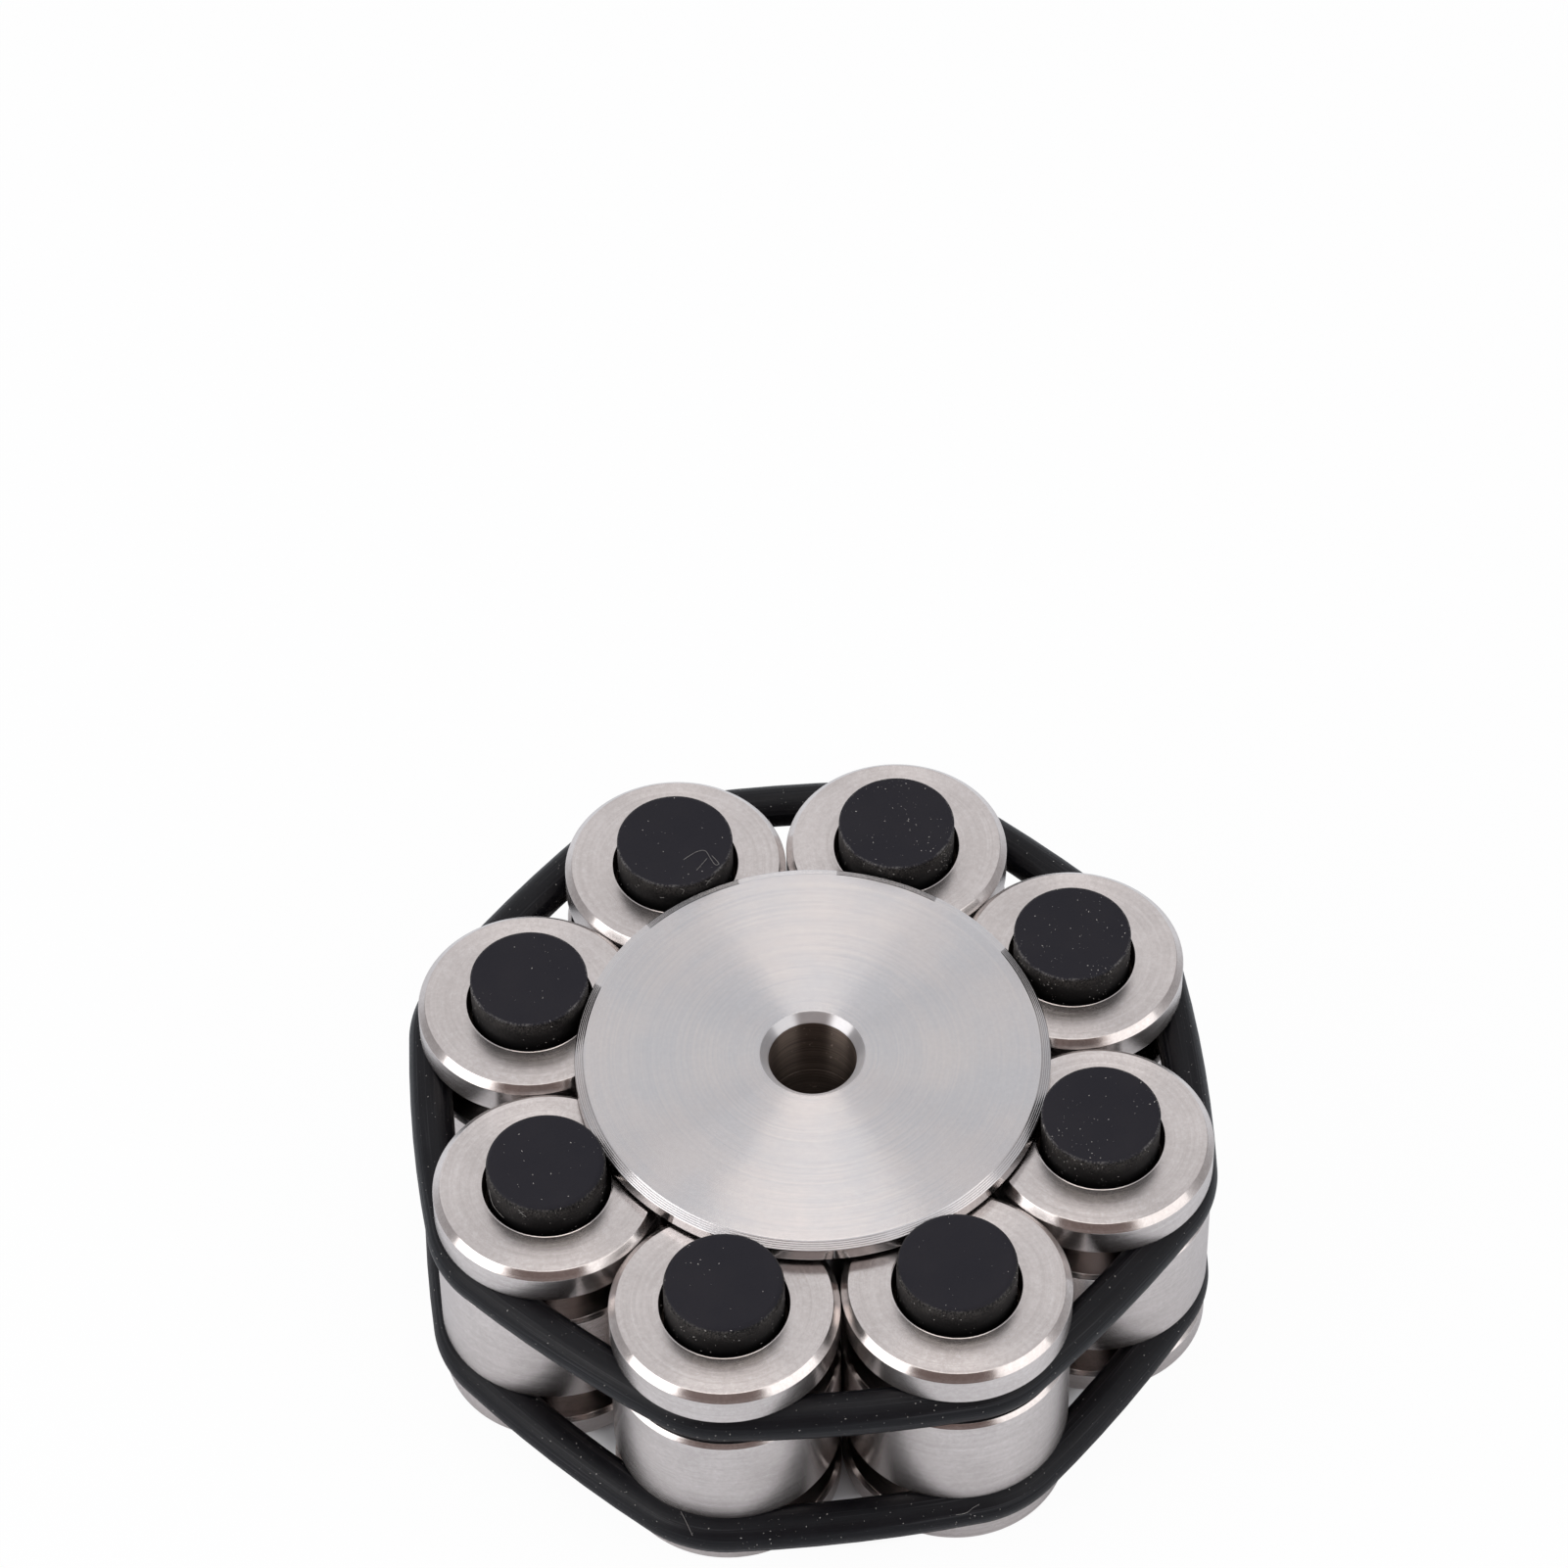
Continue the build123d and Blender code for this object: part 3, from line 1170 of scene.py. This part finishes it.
@dataclass
class PhotoCamera:
    """The camera that took the photograph, fitted to the circles of the object."""

    distance: float = 551.94  # mm, from the hub's axis at the weights' end faces
    azimuth: float = -95.22  # degrees, counterclockwise from +X
    elevation: float = 53.253
    aim: tuple[float, float] = (0.577, 30.799)  # mm, where the optical axis meets the end faces
    roll: float = 0.877
    focal_pixels: float = 6722.4
    image_pixels: float = 1601.0
    sensor: float = 36.0

    def build(self) -> None:
        """Makes the camera the scene's own."""
        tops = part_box("weight_1")[1].z
        reach = self.distance * MM
        place = Vector((0.0, 0.0, tops)) + direction_of(self.azimuth, self.elevation) * reach
        target = Vector((self.aim[0] * MM, self.aim[1] * MM, tops))
        forward = (target - place).normalized()
        level = forward.cross(Vector((0.0, 0.0, 1.0))).normalized()
        down = forward.cross(level)
        roll = math.radians(self.roll)
        right = level * math.cos(roll) + down * math.sin(roll)
        up = right.cross(forward)
        data = bpy.data.cameras.new("camera")
        data.sensor_width = self.sensor
        data.lens = self.focal_pixels / self.image_pixels * self.sensor
        data.clip_start = 0.01
        camera = shown("camera", data)
        turned = Matrix((right, up, -forward)).transposed().to_4x4()
        camera.matrix_world = Matrix.Translation(place) @ turned
        bpy.context.scene.camera = camera


class LampShape(Enum):
    """Outline of a lamp."""

    SQUARE = "RECTANGLE"
    ROUND = "ELLIPSE"


@dataclass(frozen=True)
class Softbox:
    """A soft lamp that looks at the object."""

    name: str
    azimuth: float  # degrees, counterclockwise from +X
    elevation: float
    distance: float  # metres
    width: float
    height: float
    radiance: float
    colour: Colour = WHITE
    shape: LampShape = LampShape.SQUARE

    def build(self) -> None:
        """Hangs the lamp and turns it to the object."""
        direction = direction_of(self.azimuth, self.elevation)
        data = bpy.data.lights.new(self.name, "AREA")
        data.shape = self.shape.value
        data.size = self.width
        data.size_y = self.height
        area = self.width * self.height * (math.pi / 4 if self.shape is LampShape.ROUND else 1.0)
        data.energy = self.radiance * math.pi * area
        data.color = self.colour
        lamp = shown(self.name, data)
        lamp.location = direction * self.distance
        lamp.rotation_mode = "QUATERNION"
        lamp.rotation_quaternion = direction.to_track_quat("Z", "Y")
        lamp.visible_camera = False


@dataclass(frozen=True)
class RoomPatch:
    """A part of the room that is darker than the rest of it."""

    azimuth: float  # degrees, counterclockwise from +X, of its middle
    half_width: float  # degrees of azimuth from its middle to its edge
    top: float  # degrees of elevation
    softness: float  # degrees over which its edges fade
    colour: Colour
    bottom: float = -90.0


@dataclass
class Studio:
    """A white table in a pale room, with softboxes and a dark place behind the camera."""

    room: float = 0.88
    room_colour: Colour = (0.975, 0.975, 1.0)
    patches: tuple[RoomPatch, ...] = (
        RoomPatch(20.0, 26.0, 44.0, 9.0, (0.50, 0.49, 0.50)),
        RoomPatch(158.0, 22.0, 42.0, 9.0, (0.50, 0.49, 0.50)),
        RoomPatch(-99.5, 38.5, 58.0, 5.0, (0.230, 0.172, 0.160)),
        RoomPatch(132.0, 26.0, 72.0, 5.0, (0.60, 0.60, 0.64), 55.0),
        RoomPatch(38.0, 26.0, 72.0, 5.0, (0.60, 0.60, 0.64), 55.0),
    )
    floor_size: float = 6.0
    floor_colour: Colour = (0.82, 0.84, 0.87)
    reflected_tint: Colour = (0.90, 0.94, 1.0)
    lit_share: float = 0.96  # how much of the floor's white is its own
    shade_radius: float = 0.0325  # under the object the floor keeps all its shadow
    shade_blend: float = 0.006
    reflected_blend: float = 0.034  # in the steel the floor keeps it further out
    lamps: tuple[Softbox, ...] = (
        Softbox("overhead_softbox", 85.0, 80.0, 0.80, 0.34, 0.34, 1.75, (1.0, 0.92, 0.87), LampShape.ROUND),
        Softbox("left_softbox", -157.0, 31.0, 0.42, 0.30, 0.36, 1.9, (1.0, 0.99, 0.99)),
        Softbox("right_softbox", -38.0, 31.0, 0.60, 0.47, 0.50, 0.9, (1.0, 0.98, 0.965)),
    )

    def floor(self) -> None:
        """Lays the table: white where it is seen, shaded under the object."""
        half = self.floor_size / 2
        corners = [(-half, -half, 0.0), (half, -half, 0.0), (half, half, 0.0), (-half, half, 0.0)]
        mesh = plain_mesh("floor", corners, [], [(0, 1, 2, 3)])
        material, bench, shader = new_finish("table_white")
        bench.feed_all(shader, {"Base Color": rgba(self.floor_colour), "Roughness": 0.9})
        place = bench.object_place()
        x, y, _ = bench.parts(place)
        radius = (x * x + y * y) ** 0.5
        inner = self.shade_radius - self.shade_blend
        seen_outside = bench.between(radius, inner, self.shade_radius)
        reflected_outside = bench.between(radius, inner, self.shade_radius + self.reflected_blend)
        path = bench.node("ShaderNodeLightPath", {}, {})
        direct = bench.signal(path.outputs["Is Camera Ray"]) + path.outputs["Is Transmission Ray"]
        reflected = bench.signal(path.outputs["Is Glossy Ray"])
        seen = (direct * seen_outside + reflected * reflected_outside).capped()
        tint = bench.mixed(reflected, rgba(WHITE), rgba(self.reflected_tint))
        white = bench.output("ShaderNodeEmission", {}, {"Color": tint, "Strength": 1.0})
        shares = {0: seen * self.lit_share, 1: shader.outputs[0], 2: white}
        mix = bench.output("ShaderNodeMixShader", {}, shares)
        bench.feed(material.node_tree.nodes["Material Output"].inputs["Surface"], mix)
        mesh.materials.append(material)
        shown("floor", mesh)

    def world(self) -> None:
        """Paints the room: white where it is seen, with a dark place where the camera stands."""
        world = bpy.data.worlds.new("room")
        world.use_nodes = True
        bpy.context.scene.world = world
        bench = ShaderBench(world.node_tree)
        direction = bench.node("ShaderNodeTexCoord", {}, {}).outputs["Generated"]
        x, y, z = bench.parts(direction)
        level = (x * x + y * y) ** 0.5 + 1e-6
        room: Any = rgba(self.room_colour)
        for patch in self.patches:
            azimuth = math.radians(patch.azimuth)
            towards = (x * math.cos(azimuth) + y * math.sin(azimuth)) / level
            sides = bench.between(
                towards,
                math.cos(math.radians(patch.half_width + patch.softness)),
                math.cos(math.radians(patch.half_width - patch.softness)),
            )
            below = bench.between(
                z,
                math.sin(math.radians(patch.top + patch.softness)),
                math.sin(math.radians(patch.top - patch.softness)),
            )
            above = bench.between(
                z,
                math.sin(math.radians(max(-90.0, patch.bottom - patch.softness))),
                math.sin(math.radians(patch.bottom + patch.softness)),
            )
            room = bench.mixed(sides * below * above, room, rgba(patch.colour))
        camera = bench.signal(bench.output("ShaderNodeLightPath", {}, {}))
        seen = bench.mixed(camera, room, rgba(WHITE))
        strength = camera * (1.0 - self.room) + self.room
        bench.feed_all(world.node_tree.nodes["Background"], {"Color": seen, "Strength": strength})

    def build(self) -> None:
        """Builds floor, room and lamps."""
        self.floor()
        self.world()
        for lamp in self.lamps:
            lamp.build()
        bpy.context.scene.view_settings.view_transform = "Standard"


def main() -> None:
    """Builds the object, piece by piece, and the studio round it."""
    logging.basicConfig(level=logging.INFO)
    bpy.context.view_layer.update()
    PhotoCamera().build()
    Studio().build()
    finishes = Finishes()
    lathe = Lathe()
    weights = Weights()
    Hub().build(lathe, finishes)
    weights.build(lathe, finishes)
    plugs = Plugs().build(lathe, finishes)
    rings = RubberRings().build(CordRing(), finishes, weights.count)
    Lying().build(plugs, rings, finishes)


if __name__ == "__main__":
    main()
